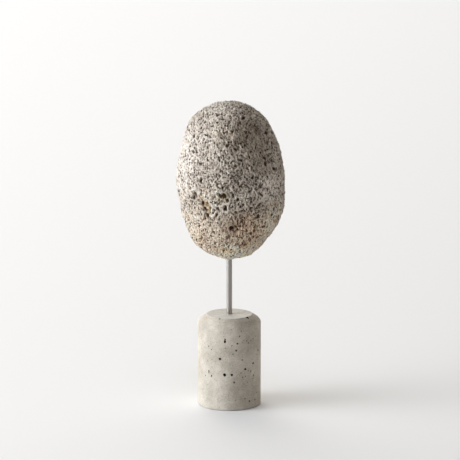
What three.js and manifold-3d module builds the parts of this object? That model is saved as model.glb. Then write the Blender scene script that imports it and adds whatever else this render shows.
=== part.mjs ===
// A porous, egg-shaped grey stone held upright on a thin steel rod that stands in a cast concrete drum.
// Millimetres, +Z up. The rod's axis is the Z axis and the drum's underside lies on Z = 0.
import * as THREE from "three";
import { ConvexGeometry } from "three/addons/geometries/ConvexGeometry.js";
import { mergeVertices } from "three/addons/utils/BufferGeometryUtils.js";
import Module from "manifold-3d";

// ---- the drum: cast concrete with a rounded shoulder and a flat round top
const DRUM_RADIUS = 28.5;
const DRUM_HEIGHT = 83.1;
const TOP_RADIUS = 20.7;
const TOP_LIP = 0.5; // the flat top stands this much proud of the shoulder, and as much inside it
const SIDE_HEIGHT = 75.5; // where the straight side ends and the shoulder begins
const SHOULDER_CORNER = 79.2; // height at which the shoulder's slope, carried on, meets the side
const FOOT_ROUND = 1.5;
const DRUM_SIDES = 60;
const CURVE_STEPS = 3;

// Air holes left by the casting: turn from the front towards +X in degrees, height, radius, and how
// many times taller than wide.
const AIR_HOLES = [
  [-8.5, 33.5, 1.4, 1],
  [-7.8, 64.2, 1.15, 1.5],
  [-17, 47.8, 1.1, 1],
  [4.4, 33.4, 1, 1],
  [9, 26.4, 0.8, 1.1],
  [30.1, 37.8, 1, 1],
  [48.9, 41.7, 0.9, 1],
  [14.8, 61.9, 0.75, 1],
  [12, 55.7, 0.75, 1],
  [-33.6, 31.5, 0.95, 1],
  [-39.7, 34, 1, 1.4],
  [64.7, 48.6, 0.8, 1.3],
  [59.9, 13.7, 0.75, 1],
  [39.7, 7.4, 0.75, 1],
  [112, 55, 1.2, 1],
  [150, 28, 1, 1.2],
  [171, 66, 0.9, 1],
  [-158, 44, 1.3, 1],
  [-131, 19, 0.9, 1],
  [-104, 60, 0.85, 1],
  [-92, 38, 1.1, 1],
];

// Air holes in the edge of the flat top: turn and radius.
const TOP_EDGE_HOLES = [
  [49.4, 0.95],
  [-24, 0.6],
];

// Small chips out of the foot: turn and size.
const FOOT_CHIPS = [
  [-26, 1.1],
  [-13, 0.9],
  [9, 1.2],
  [74, 1.3],
  [140, 1.2],
  [-120, 1.4],
];

// ---- the rod: round steel bar, let into the drum and the stone
const ROD_RADIUS = 2.5;
const ROD_CHAMFER = 0.4;
const ROD_IN_DRUM = 42;
const ROD_IN_STONE = 28;
const ROD_SIDES = 24;
const FIT_GAP = 0.3; // all round the rod in its holes

// ---- the stone: one natural pebble, its longest side upright
const STONE_CENTRE = new THREE.Vector3(1.2, 0, 204.6);
const STONE_UNDERSIDE = 132.4; // where the rod enters
const HALF_WIDTH = 50;
const HALF_HEIGHT = 72;
const FRONT_DEPTH = 41;
const BACK_DEPTH = 39.5;
const FULLNESS = 2.2; // 2 would make the side view a plain ellipse

// The outline from the front: distance from the centre every 15 degrees, from +X towards +Z.
const OUTLINE = [
  49, 49.5, 52, 57, 64, 69.5, 72.5, 70.5, 67, 58, 51.5, 50.5, 49.5, 49, 50.5, 56.5, 65, 69.5, 71.5,
  69, 62.5, 58.5, 54, 50,
];

// Worn flats. Each is where it faces (turn from the front towards +X, rise above level, degrees)
// and how deep it cuts into the egg.
const FLATS = [
  [-32, 24, 1.8],
  [40, 28, 2],
  [150, 25, 1.6],
  [-138, -18, 1.8],
  [-150, 48, 0.8],
  [128, -38, 1],
];
const FLAT_BLEND = 1.6; // the width over which a flat runs out
const FLAT_REACH = 0.3; // a flat ends where the surface leans this far from facing it (cosine)

// Swells and hollows: turn, rise, half-width and height.
const SWELLS = [
  // the ridge down the upper front, with a shallow valley on its left
  [9, 66, 5, 0.8],
  [8, 54, 5, 0.6],
  [-6, 66, 5, -0.9],
  [-4, 52, 5, -0.8],
  // upper front
  [-56, 56, 9.5, 0.7],
  [-19, 56, 9.5, 1],
  [19, 56, 9.5, -0.6],
  [-60, 40, 9.5, -0.8],
  [30, 40, 9.5, -1.1],
  // waist, with the smooth bulge on its right
  [43, 8, 9.5, 2.4],
  [43, -8, 9, 0.4],
  [64, 8, 9.5, 0.5],
  [0, 8, 9.5, 0.9],
  [0, -8, 9.5, -0.8],
  [21, -8, 9.5, 0.7],
  // the pale ridge beside the cleft
  [-24, -16, 4, 1],
  [-24, -25, 4, 1.3],
  [-24, -34, 4, 0.9],
  // lower front
  [-38, -24, 9.5, -0.9],
  [-62, -24, 9.5, 0.4],
  [38, -24, 9, -0.4],
  [62, -24, 9.5, -0.8],
  [66, -36, 6, -0.8],
  [76, -30, 5, 0.7],
  [-30, -40, 9.5, -1],
  [30, -40, 9.5, -1.1],
  [-19, -56, 9.5, 1.5],
  // sides and back
  [112, 8, 12, 0.7],
  [175, -8, 14, 0.7],
  [-165, 30, 12, -1.2],
  [-112, 12, 12, 0.8],
  [-150, -45, 11, 1],
  [100, -45, 10, -0.7],
  [160, 60, 10, 1],
];

// Slow waves over the whole surface, each shorter and lower than the last.
const WAVES = 14;
const WAVE_HEIGHT = 0.2;
const LONGEST_WAVE = 44;
const SHORTEST_WAVE = 13;

// Pits and clefts: turn, rise, half-length, half-width, lean of the long side from upright, depth.
const PITS = [
  [1.3, -45.5, 2.9, 2, -20, 3.2], // the deepest, low in the middle
  [-4.2, -53.4, 2.2, 2.2, 0, 0.9], // the shallow ring under it
  [-8.7, -10.5, 3.4, 2.7, -30, 2.2], // the wide hollow at the waist
  [-4, -14.5, 1.9, 1.5, 10, 1.8],
  [-9, 0.5, 2, 1.5, 30, 1.5],
  [-44, -8.2, 3.4, 3, 0, 1.4], // the grey hollow on the left
  [-46.5, -12.5, 2, 1.3, 20, 2],
  [-34.5, -18.5, 2.8, 1.7, -25, 2], // the ochre cleft, in three lengths
  [-32.6, -25, 3.6, 1.7, -15, 2.2],
  [-30.5, -32.6, 2.8, 1.9, -20, 2.6],
  [-16, -24.8, 2.6, 1.4, -25, 1.9], // lower front
  [35, -48.1, 1.9, 1.5, 20, 2],
  [25.7, -60.9, 1.9, 1.5, 0, 1.6],
  [-16.8, -68.4, 1.8, 1.3, 40, 1.5],
  [-45.8, -52.6, 2.6, 1.8, 60, 1.3],
  [60.2, -14, 3.6, 1.3, 14, 1.5], // the grooves near the right edge
  [59.6, -26.3, 4, 1.4, 20, 1.6],
  [69.8, -37.6, 2.6, 1.5, 20, 1.6],
  [25.8, -24.8, 2.6, 1.2, 55, 1.4], // the slanting grooves right of the middle
  [35.6, -20.3, 2.8, 1.2, 62, 1.4],
  [15.7, -27.2, 1.8, 1.3, 60, 1.4],
  [26.4, 11.8, 1.8, 1.5, 20, 1.6], // upper front
  [13, 3.2, 1.7, 1.3, 0, 1.4],
  [47.7, 31.6, 1.9, 1.4, -20, 1.6],
  [6, 43.3, 1.7, 1.4, 30, 1.7],
  [-4, 46.2, 2.3, 1.6, 50, 1.5],
  [3, 57, 2.2, 1.5, 30, 1.2],
  [-52, 62.9, 1.7, 1.6, 0, 1.7],
  [-58, 60.3, 1.6, 1.4, 30, 1.5],
  [-36.1, 62.1, 1.9, 1.6, 60, 1.7],
  [-32.7, 82.5, 1.7, 1.4, 0, 1.3],
  [38, 44, 1.8, 1.4, 30, 1.4],
  [60, 44, 2.2, 1.5, 10, 1.4],
  [18, 79, 3.6, 1.2, 80, 1], // the curved ledge near the top
  [44, 78, 3.4, 1.2, 70, 1],
];
const PIT_FLOOR = 0.55; // the flat floor's share of a pit's width
const PIT_LIP = 0.12; // height of the raised rim, as a share of the depth
const LIP_AT = 1.12; // where the rim is highest, the pit's edge being 1
const LIP_WIDTH = 0.16;

// Small pits, scattered all over.
const SCATTERED_PITS = 160;
const NARROWEST_PIT = 1.05; // half-width
const WIDEST_PIT = 2.15;
const LONGEST_PIT = 1.6; // length over width
const PIT_STEEPNESS = 1.05; // depth over half-width
const PIT_WALL = 0.9; // least wall between two
const MOST_TRIES = 9000;
const SEED = 20;

// The facets' corners, in level rows with rings on the pits' floors and edges.
const CORNER_SPACING = 4.9;
const ROW_SPACING = 0.88; // rows over corner spacing
const CORNER_STRAY = 0.22; // share of the spacing by which a corner strays along its row
const ROW_STRAY = 0.014; // radians by which it strays from its row
const CRUMBLE = 0.42; // how far a corner stands in or out
const EDGE_CRUMBLE = 0.2;
const EDGE_STRAY = 0.11; // share of a pit's width by which its ring strays
const EDGE_CORNERS = 4; // corners of an edge ring for each millimetre of the pit's half-width
const FLOOR_CORNERS = 2.5;
const FLOORED_PIT = 1.25; // narrower pits run to a point

let state = SEED;
function chance(low, high) {
  state = (Math.imul(state, 1664525) + 1013904223) >>> 0;
  return low + ((high - low) * state) / 2 ** 32;
}

function facing(turn, rise) {
  const t = THREE.MathUtils.degToRad(turn);
  const r = THREE.MathUtils.degToRad(rise);
  return new THREE.Vector3(
    Math.sin(t) * Math.cos(r),
    -Math.cos(t) * Math.cos(r),
    Math.sin(r),
  );
}

// ---- the stone's form: how far its surface lies from its centre in any direction

function depthOf(direction) {
  return direction.y < 0 ? FRONT_DEPTH : BACK_DEPTH;
}

// A smooth curve through the outline's stations.
function outlineAt(angle) {
  const n = OUTLINE.length;
  const place = ((angle / (2 * Math.PI) + 1) % 1) * n;
  const i = Math.floor(place);
  const u = place - i;
  const [a, b, c, d] = [i + n - 1, i, i + 1, i + 2].map((k) => OUTLINE[k % n]);
  const bend = 2 * a - 5 * b + 4 * c - d;
  const twist = 3 * (b - c) + d - a;
  return b + 0.5 * u * (c - a + u * (bend + u * twist));
}

function eggAt(direction) {
  const across = Math.hypot(direction.x, direction.z);
  const outline = outlineAt(Math.atan2(direction.z, direction.x));
  const through = Math.abs(direction.y) / depthOf(direction);
  return ((across / outline) ** FULLNESS + through ** FULLNESS) ** (-1 / FULLNESS);
}

const flats = FLATS.map(([turn, rise, cut]) => {
  const normal = facing(turn, rise);
  const eggReach = Math.hypot(
    HALF_WIDTH * normal.x,
    depthOf(normal) * normal.y,
    HALF_HEIGHT * normal.z,
  );
  return { normal, distance: eggReach - cut };
});

function wornAt(direction) {
  let radius = eggAt(direction);
  for (const { normal, distance } of flats) {
    const towards = direction.dot(normal);
    if (towards < FLAT_REACH) continue;
    const over = (radius - distance / towards) / FLAT_BLEND;
    radius -= FLAT_BLEND * Math.log(1 + Math.exp(over));
  }
  return radius;
}

function onStone(direction) {
  return direction.clone().multiplyScalar(wornAt(direction));
}

// The waves run in directions spread evenly by the golden angle.
const GOLDEN_ANGLE = Math.PI * (3 - Math.sqrt(5));
const waves = Array.from({ length: WAVES }, (_, k) => {
  const length = LONGEST_WAVE * (SHORTEST_WAVE / LONGEST_WAVE) ** (k / (WAVES - 1));
  const rise = THREE.MathUtils.radToDeg(Math.asin(1 - (2 * k + 1) / WAVES));
  const turn = THREE.MathUtils.radToDeg(GOLDEN_ANGLE * k);
  const height = WAVE_HEIGHT * Math.sqrt(length / LONGEST_WAVE);
  return { along: facing(turn, rise), length, start: k * k, height };
});

const swells = SWELLS.map(([turn, rise, width, height]) => ({
  place: onStone(facing(turn, rise)),
  width,
  height,
}));

function bodyAt(direction) {
  const place = onStone(direction);
  let radius = place.length();
  for (const { along, length, start, height } of waves) {
    radius += height * Math.sin((2 * Math.PI * place.dot(along)) / length + start);
  }
  for (const swell of swells) {
    const away = place.distanceTo(swell.place) / swell.width;
    radius += swell.height * Math.exp(-away * away);
  }
  return radius;
}

function makePit([turn, rise, length, width, lean, depth]) {
  const direction = facing(turn, rise);
  const centre = onStone(direction);
  const normal = new THREE.Vector3(
    centre.x / HALF_WIDTH ** 2,
    centre.y / depthOf(direction) ** 2,
    centre.z / HALF_HEIGHT ** 2,
  ).normalize();
  const level = new THREE.Vector3(-normal.y, normal.x, 0).normalize();
  const long = new THREE.Vector3()
    .crossVectors(normal, level)
    .applyAxisAngle(normal, -THREE.MathUtils.degToRad(lean));
  const short = new THREE.Vector3().crossVectors(long, normal);
  return { centre, long, short, length, width, depth };
}

const pits = PITS.map(makePit);
for (let tries = 0; tries < MOST_TRIES; tries++) {
  if (pits.length === PITS.length + SCATTERED_PITS) break;
  const turn = chance(-180, 180);
  const rise = THREE.MathUtils.radToDeg(Math.asin(chance(-1, 1)));
  const width = NARROWEST_PIT + (WIDEST_PIT - NARROWEST_PIT) * chance(0, 1) ** 2;
  const length = width * chance(1, LONGEST_PIT);
  const lean = chance(-90, 90);
  const pit = makePit([turn, rise, length, width, lean, width * PIT_STEEPNESS]);
  const clear = pits.every((other) => {
    const wall = other.centre.distanceTo(pit.centre) - other.length - pit.length;
    return wall > PIT_WALL;
  });
  if (clear) pits.push(pit);
}

// How far out from a pit's middle a place lies: 1 on its edge.
function outOf(pit, place) {
  const offset = place.clone().sub(pit.centre);
  return Math.hypot(
    offset.dot(pit.long) / pit.length,
    offset.dot(pit.short) / pit.width,
  );
}

function surfaceAt(direction) {
  const place = onStone(direction);
  let radius = bodyAt(direction);
  for (const pit of pits) {
    if (place.distanceTo(pit.centre) > 2 * pit.length) continue;
    const out = outOf(pit, place);
    const sunk = THREE.MathUtils.smoothstep(1 - out, 0, 1 - PIT_FLOOR);
    const lip = Math.exp(-(((out - LIP_AT) / LIP_WIDTH) ** 2));
    radius += pit.depth * (PIT_LIP * lip - sunk);
  }
  return radius;
}

// ---- the stone's facets

// Each corner is kept by its direction from the centre, with its distance.
const corners = new Map();
const keyOf = ({ x, y, z }) => [x, y, z].map(Math.fround).join(" ");
function addCorner(direction, crumble) {
  const radius = surfaceAt(direction) + chance(-crumble, crumble);
  corners.set(keyOf(direction), { direction, radius });
}

function clearOfPits(direction) {
  const place = onStone(direction);
  return pits.every((pit) => {
    const room = (0.5 * CORNER_SPACING) / (pit.length + pit.width);
    return outOf(pit, place) > 1 + room || place.dot(pit.centre) < 0;
  });
}

const girth = Math.PI * (HALF_WIDTH + FRONT_DEPTH);
let climb = -Math.PI / 2;
while (climb < Math.PI / 2) {
  const count = Math.max(1, Math.round((girth * Math.cos(climb)) / CORNER_SPACING));
  const start = chance(0, 1);
  for (let k = 0; k < count; k++) {
    const strayed = k + start + chance(-CORNER_STRAY, CORNER_STRAY);
    const round = (2 * Math.PI * strayed) / count;
    const level = climb + chance(-ROW_STRAY, ROW_STRAY);
    const direction = new THREE.Vector3(
      HALF_WIDTH * Math.cos(level) * Math.cos(round),
      FRONT_DEPTH * Math.cos(level) * Math.sin(round),
      HALF_HEIGHT * Math.sin(level),
    ).normalize();
    if (clearOfPits(direction)) addCorner(direction, CRUMBLE);
  }
  const millimetresPerRadian = Math.hypot(
    HALF_WIDTH * Math.sin(climb),
    HALF_HEIGHT * Math.cos(climb),
  );
  climb += (ROW_SPACING * CORNER_SPACING) / millimetresPerRadian;
}

for (const pit of pits) {
  const size = Math.sqrt(pit.length * pit.width);
  const rings = [
    { share: 0, count: 1 },
    { share: 1, count: Math.max(6, Math.round(EDGE_CORNERS * size)) },
  ];
  if (pit.width > FLOORED_PIT) {
    rings.push({ share: PIT_FLOOR, count: Math.max(4, Math.round(FLOOR_CORNERS * size)) });
  }
  for (const { share, count } of rings) {
    for (let k = 0; k < count; k++) {
      const round = (2 * Math.PI * (k + share / 2)) / count;
      const reach = share * chance(1 - EDGE_STRAY, 1 + EDGE_STRAY);
      const direction = pit.centre
        .clone()
        .addScaledVector(pit.long, reach * pit.length * Math.cos(round))
        .addScaledVector(pit.short, reach * pit.width * Math.sin(round))
        .normalize();
      const landing = onStone(direction);
      const free = pits.every((other) => other === pit || outOf(other, landing) > LIP_AT);
      if (free) addCorner(direction, EDGE_CRUMBLE * share);
    }
  }
}

// ---- cutting and turning

const wasm = await Module();
wasm.setup();

function solidFrom(geometry) {
  const bare = geometry.clone();
  bare.deleteAttribute("normal");
  bare.deleteAttribute("uv");
  const joined = mergeVertices(bare, 1e-4);
  return new wasm.Manifold(
    new wasm.Mesh({
      numProp: 3,
      vertProperties: joined.attributes.position.array,
      triVerts: new Uint32Array(joined.index.array),
    }),
  );
}

function facetedFrom(solid) {
  const { vertProperties, triVerts } = solid.getMesh();
  const geometry = new THREE.BufferGeometry();
  geometry.setAttribute("position", new THREE.BufferAttribute(vertProperties, 3));
  geometry.setIndex(new THREE.BufferAttribute(triVerts, 1));
  const faceted = geometry.toNonIndexed();
  faceted.computeVertexNormals();
  return faceted;
}

function turned(path, sides, divisions) {
  return new THREE.LatheGeometry(path.getPoints(divisions), sides).rotateX(Math.PI / 2);
}

// ---- the stone

// The facets join neighbouring corners, as the hull of their directions does.
const directions = [...corners.values()].map((corner) => corner.direction);
const stoneFacets = new ConvexGeometry(directions);
const positions = stoneFacets.attributes.position;
const vertex = new THREE.Vector3();
for (let i = 0; i < positions.count; i++) {
  vertex.fromBufferAttribute(positions, i);
  vertex.multiplyScalar(corners.get(keyOf(vertex)).radius).add(STONE_CENTRE);
  positions.setXYZ(i, vertex.x, vertex.y, vertex.z);
}

const rodTop = STONE_UNDERSIDE + ROD_IN_STONE;
const rodFoot = DRUM_HEIGHT - ROD_IN_DRUM;
const holeRadius = ROD_RADIUS + FIT_GAP;
const drillLength = rodTop + FIT_GAP - DRUM_HEIGHT;
const drill = new THREE.CylinderGeometry(holeRadius, holeRadius, drillLength, ROD_SIDES)
  .rotateX(Math.PI / 2)
  .translate(0, 0, DRUM_HEIGHT + drillLength / 2);

const stone = new THREE.Mesh(
  facetedFrom(solidFrom(stoneFacets).subtract(solidFrom(drill))),
  new THREE.MeshStandardMaterial({ color: 0xb0a698, roughness: 0.95, metalness: 0 }),
);
stone.name = "stone";

// ---- the rod

const rodPath = new THREE.Path()
  .moveTo(0, rodFoot)
  .lineTo(ROD_RADIUS - ROD_CHAMFER, rodFoot)
  .lineTo(ROD_RADIUS, rodFoot + ROD_CHAMFER)
  .lineTo(ROD_RADIUS, rodTop - ROD_CHAMFER)
  .lineTo(ROD_RADIUS - ROD_CHAMFER, rodTop)
  .lineTo(0, rodTop);
const rod = new THREE.Mesh(
  turned(rodPath, ROD_SIDES, 1),
  new THREE.MeshStandardMaterial({ color: 0x9b968f, roughness: 0.4, metalness: 1 }),
);
rod.name = "rod";

// ---- the drum

// From the middle of the underside, up over the shoulder and down the rod's hole.
const topEdge = [TOP_RADIUS + TOP_LIP, DRUM_HEIGHT - TOP_LIP];
const drumPath = new THREE.Path()
  .moveTo(0, 0)
  .lineTo(DRUM_RADIUS - FOOT_ROUND, 0)
  .quadraticCurveTo(DRUM_RADIUS, 0, DRUM_RADIUS, FOOT_ROUND)
  .lineTo(DRUM_RADIUS, SIDE_HEIGHT)
  .quadraticCurveTo(DRUM_RADIUS, SHOULDER_CORNER, ...topEdge)
  .lineTo(TOP_RADIUS, DRUM_HEIGHT)
  .lineTo(holeRadius, DRUM_HEIGHT)
  .lineTo(holeRadius, rodFoot - FIT_GAP)
  .lineTo(0, rodFoot - FIT_GAP);

function airHole(turn, out, height, radius, stretch) {
  const place = facing(turn, 0).multiplyScalar(out);
  return new THREE.SphereGeometry(radius, 6, 4)
    .rotateX(Math.PI / 2)
    .scale(1, 1, stretch)
    .translate(place.x, place.y, height);
}

function footChip(turn, size) {
  const place = facing(turn, 0).multiplyScalar(DRUM_RADIUS);
  return new THREE.IcosahedronGeometry(size, 0).translate(place.x, place.y, 0);
}

const cutters = [
  ...AIR_HOLES.map(([turn, height, radius, stretch]) =>
    airHole(turn, DRUM_RADIUS, height, radius, stretch),
  ),
  ...TOP_EDGE_HOLES.map(([turn, radius]) => airHole(turn, ...topEdge, radius, 1)),
  ...FOOT_CHIPS.map(([turn, size]) => footChip(turn, size)),
];
let drum = solidFrom(turned(drumPath, DRUM_SIDES, CURVE_STEPS));
for (const cutter of cutters) drum = drum.subtract(solidFrom(cutter));

const base = new THREE.Mesh(
  facetedFrom(drum),
  new THREE.MeshStandardMaterial({ color: 0xb9b5ab, roughness: 0.85, metalness: 0 }),
);
base.name = "base";

const part = new THREE.Group();
part.add(base, rod, stone);

export default part;
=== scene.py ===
import math
from collections import namedtuple

import bmesh
import bpy
import numpy as np
from mathutils import Matrix, Vector, kdtree, noise


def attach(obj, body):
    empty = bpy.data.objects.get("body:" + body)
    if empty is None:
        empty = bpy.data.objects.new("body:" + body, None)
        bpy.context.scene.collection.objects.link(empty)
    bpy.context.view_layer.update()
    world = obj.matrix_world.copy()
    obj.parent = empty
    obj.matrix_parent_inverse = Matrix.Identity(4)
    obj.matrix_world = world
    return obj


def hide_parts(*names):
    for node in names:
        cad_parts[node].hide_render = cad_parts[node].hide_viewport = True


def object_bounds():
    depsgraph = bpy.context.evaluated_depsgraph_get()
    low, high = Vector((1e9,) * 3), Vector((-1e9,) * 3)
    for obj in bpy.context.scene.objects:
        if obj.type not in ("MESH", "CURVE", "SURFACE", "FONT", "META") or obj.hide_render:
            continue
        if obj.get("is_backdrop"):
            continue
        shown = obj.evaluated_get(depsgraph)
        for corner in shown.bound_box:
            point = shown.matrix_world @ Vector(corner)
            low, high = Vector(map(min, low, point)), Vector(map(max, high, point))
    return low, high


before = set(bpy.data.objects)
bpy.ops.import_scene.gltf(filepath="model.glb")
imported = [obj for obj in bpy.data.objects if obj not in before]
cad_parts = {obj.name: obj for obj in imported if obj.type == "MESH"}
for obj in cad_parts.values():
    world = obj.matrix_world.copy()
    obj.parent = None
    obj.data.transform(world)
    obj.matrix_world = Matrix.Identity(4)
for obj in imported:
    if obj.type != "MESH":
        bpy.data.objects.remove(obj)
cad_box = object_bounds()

# ---- The base: a drum of fine pale concrete, cast in a smooth tube, its shoulder rounded over and
# its top struck off flat round the rod. Air caught against the mould left round holes in the side,
# and the foot has lost a few crumbs. Sizes are in millimetres until a piece is put in the scene.

MM = 0.001
DRUM_RADIUS = 28.5
DRUM_HEIGHT = 83.1
TOP_RADIUS = 20.7
TOP_LIP = 0.5
SIDE_HEIGHT = 75.5
SHOULDER_CORNER = 79.2
FOOT_ROUND = 1.5
DRUM_SIDES = 200
DRUM_ROW = 1
UNEVENNESS = 0.1  # how far the cast skin dips
DIP_SIZES = (9, 2.2)  # of the broad dips, and of the small ones on them
ROD_HOLE_RADIUS = 2.8
ROD_FOOT = 41.1
ROD_TOP = 160.4
FIT_GAP = 0.3

# Air holes: turn from the front towards +X in degrees, height, the radius of the mouth, how many
# times taller than wide, and how dark the painted shade inside.
AIR_HOLES = [
    (-8.5, 33.5, 1.45, 1, 1),
    (-7.8, 64, 1.1, 1.25, 1),
    (-7.6, 66, 0.6, 1.7, 1),
    (-17, 47.8, 1.15, 1, 1),
    (4.4, 33.4, 1.1, 1.1, 1),
    (9, 26.4, 0.8, 1.1, 0.9),
    (30.1, 37.8, 1.1, 1, 1),
    (48.9, 41.7, 1.05, 1, 0.7),
    (14.8, 61.9, 0.95, 0.9, 0.7),
    (12.3, 55.7, 0.9, 1, 0.7),
    (6.5, 52.4, 0.55, 1, 0.7),
    (-33.6, 31.5, 0.9, 1, 0.45),
    (-39.9, 34.5, 0.85, 2.2, 0),
    (-48.9, 30.6, 0.6, 1, 0.35),
    (-34, 55.6, 0.6, 1, 0.4),
    (-40.1, 58.4, 0.6, 1, 0.45),
    (4.1, 60.1, 0.6, 1, 0.6),
    (-7, 57.8, 0.5, 1, 0.4),
    (18.6, 68.4, 0.6, 1.5, 0.7),
    (3.5, 75, 0.55, 1, 0.45),
    (22, 73, 0.7, 1.3, 0.3),
    (24.4, 46.6, 0.75, 1, 0.5),
    (64.7, 52, 0.9, 1.5, 0.6),
    (57.5, 49, 0.7, 1, 0.45),
    (36.5, 36, 0.6, 1.2, 0.4),
    (59.9, 13.7, 0.75, 0.7, 0.6),
    (39.7, 7.4, 0.85, 1.2, 0.7),
    (29.5, 10.5, 0.7, 1, 0.5),
    (54.2, 7.5, 0.8, 1.2, 0.6),
    (11, 10, 0.6, 1, 0.35),
    # a string of small ones across the upper right
    (24, 62.8, 0.55, 1, 0.4),
    (27, 64.6, 0.6, 0.8, 0.45),
    (32.5, 63.8, 0.65, 0.7, 0.4),
    (37, 61.4, 0.55, 1.2, 0.5),
    (42.5, 63.2, 0.6, 0.8, 0.4),
    (48, 64.4, 0.65, 0.8, 0.45),
    (54, 66.4, 0.55, 1, 0.35),
    # a cluster low on the right
    (21.5, 34.5, 0.55, 1, 0.4),
    (24.5, 30.5, 0.7, 1, 0.45),
    (30.5, 31, 0.8, 0.9, 0.5),
    (25.5, 28.5, 0.5, 1, 0.4),
    (34.5, 25.5, 0.6, 1, 0.4),
    (42.5, 35, 0.7, 1.7, 0.35),
    (50, 30.5, 0.75, 1.5, 0.45),
    (48.5, 27.5, 0.6, 1, 0.45),
    # round the back
    (112, 55, 1.2, 1, 1),
    (150, 28, 1, 1.2, 0.9),
    (171, 66, 0.9, 1, 0.8),
    (-158, 44, 1.3, 1, 1),
    (-131, 19, 0.9, 1, 0.8),
    (-104, 60, 0.85, 1, 0.7),
    (-92, 38, 1.1, 1, 0.9),
]
TOP_EDGE_HOLES = [(49.4, 1.05, 1), (-24, 0.7, 0.6)]  # turn, radius and darkness
FOOT_CHIPS = [(-26, 1.2), (-38, 0.8), (-13, 0.9), (9, 1.2), (74, 1.3), (140, 1.2), (-120, 1.4)]
PINHOLES = 460
PINHOLE_HEIGHTS = (4, SIDE_HEIGHT - 2)
PINHOLE_RADII = (0.2, 0.5)
PINHOLE_DARKEST = 0.75
PINHOLE_CROWD = 13  # pinholes crowd together in patches of about this size
CROWD_EDGE = 0.3  # how softly a crowd thins out
HOLE_SET_BACK = 0.15  # of its radius, how far under the skin an air hole's middle lies
HOLE_UNEVENNESS = 0.28  # of its radius
HOLE_FINENESS = 3
CHIP_FINENESS = 2
PINHOLE_FINENESS = 1
HOLE_SHADE_FROM = 0.12  # how deep under the skin the painted shade in a hole begins
HOLE_SHADE_FULL = 0.35  # of a hole's radius, how much deeper it is darkest
HOLE_SHADE_REACH = 1.35  # of a hole's radius, how far out the painted shade lies

shuffle = np.random.default_rng(7)


def facing(turn, rise):
    """The direction at a turn from the front towards +X and a rise above level, in degrees."""
    t, r = math.radians(turn), math.radians(rise)
    return Vector((math.sin(t) * math.cos(r), -math.cos(t) * math.cos(r), math.sin(r)))


def bend(start, corner, end, steps):
    """Points of a smooth bend from start to end whose slopes meet at corner."""
    points = []
    for k in range(1, steps + 1):
        t = k / steps
        points.append(
            tuple(
                (1 - t) ** 2 * a + 2 * t * (1 - t) * b + t * t * c
                for a, b, c in zip(start, corner, end)
            )
        )
    return points


def straight(start, end, step):
    """Points on the way from start to end, about a step apart."""
    count = max(1, round(math.dist(start, end) / step))
    return [
        tuple(a + (b - a) * k / count for a, b in zip(start, end)) for k in range(1, count + 1)
    ]


def turned(path, sides):
    """A solid turned on the Z axis from its half outline, which starts and ends on the axis."""
    shape = bmesh.new()
    verts = [shape.verts.new((radius, 0, height)) for radius, height in path]
    edges = [shape.edges.new(pair) for pair in zip(verts, verts[1:])]
    bmesh.ops.spin(
        shape,
        geom=verts + edges,
        axis=(0, 0, 1),
        angle=2 * math.pi,
        steps=sides,
        use_merge=True,
    )
    bmesh.ops.remove_doubles(shape, verts=shape.verts, dist=1e-4)
    bmesh.ops.recalc_face_normals(shape, faces=shape.faces)
    return shape


def put_in_scene(name, shape):
    """Makes an object of a shape, which is used up."""
    mesh = bpy.data.meshes.new(name)
    shape.to_mesh(mesh)
    shape.free()
    piece = bpy.data.objects.new(name, mesh)
    bpy.context.scene.collection.objects.link(piece)
    return piece


def finish_piece(piece, material, node, crease):
    """Takes the piece to metres, smooths it between its creases, and fits it to the frame."""
    piece.data.transform(Matrix.Scale(MM, 4))
    piece.data.shade_smooth()
    piece.data.set_sharp_from_angle(angle=math.radians(crease))
    piece.data.materials.clear()
    piece.data.materials.append(material)
    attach(piece, "root")
    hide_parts(node)


foot = (DRUM_RADIUS - FOOT_ROUND, 0)
side_foot = (DRUM_RADIUS, FOOT_ROUND)
side_top = (DRUM_RADIUS, SIDE_HEIGHT)
top_edge = (TOP_RADIUS + TOP_LIP, DRUM_HEIGHT - TOP_LIP)
lip_corner = (TOP_RADIUS + 0.7 * TOP_LIP, DRUM_HEIGHT - 0.05)
top = (TOP_RADIUS, DRUM_HEIGHT)
mouth = (ROD_HOLE_RADIUS, DRUM_HEIGHT)
hole_foot = (ROD_HOLE_RADIUS, ROD_FOOT - FIT_GAP)
drum_path = [
    (0, 0),
    *straight((0, 0), foot, 3),
    *bend(foot, (DRUM_RADIUS, 0), side_foot, 5),
    *straight(side_foot, side_top, DRUM_ROW),
    *bend(side_top, (DRUM_RADIUS, SHOULDER_CORNER), top_edge, 12),
    *bend(top_edge, lip_corner, top, 3),
    *straight(top, mouth, 1.2),
    *straight(mouth, hole_foot, 6),
    (0, hole_foot[1]),
]
drum_shape = turned(drum_path, DRUM_SIDES)
for vert in drum_shape.verts:
    out = math.hypot(vert.co.x, vert.co.y)
    if out > TOP_RADIUS and vert.co.z > 0:
        broad, small = (noise.noise(vert.co / size) for size in DIP_SIZES)
        dip = 0.5 + 0.5 * broad + 0.25 * small
        inward = 1 - UNEVENNESS * max(0, dip) / out
        vert.co.x *= inward
        vert.co.y *= inward
drum = put_in_scene("concrete_base", drum_shape)


def add_bubble(shape, place, radius, stretch, fineness):
    """A bubble of slightly uneven roundness."""
    made = bmesh.ops.create_icosphere(
        shape, subdivisions=fineness, radius=radius, matrix=Matrix.Translation(place)
    )
    for vert in made["verts"]:
        offset = vert.co - Vector(place)
        uneven = 1 + HOLE_UNEVENNESS * noise.noise(vert.co * 0.9 / radius)
        vert.co = Vector(place) + Vector((offset.x, offset.y, offset.z * stretch)) * uneven


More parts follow.
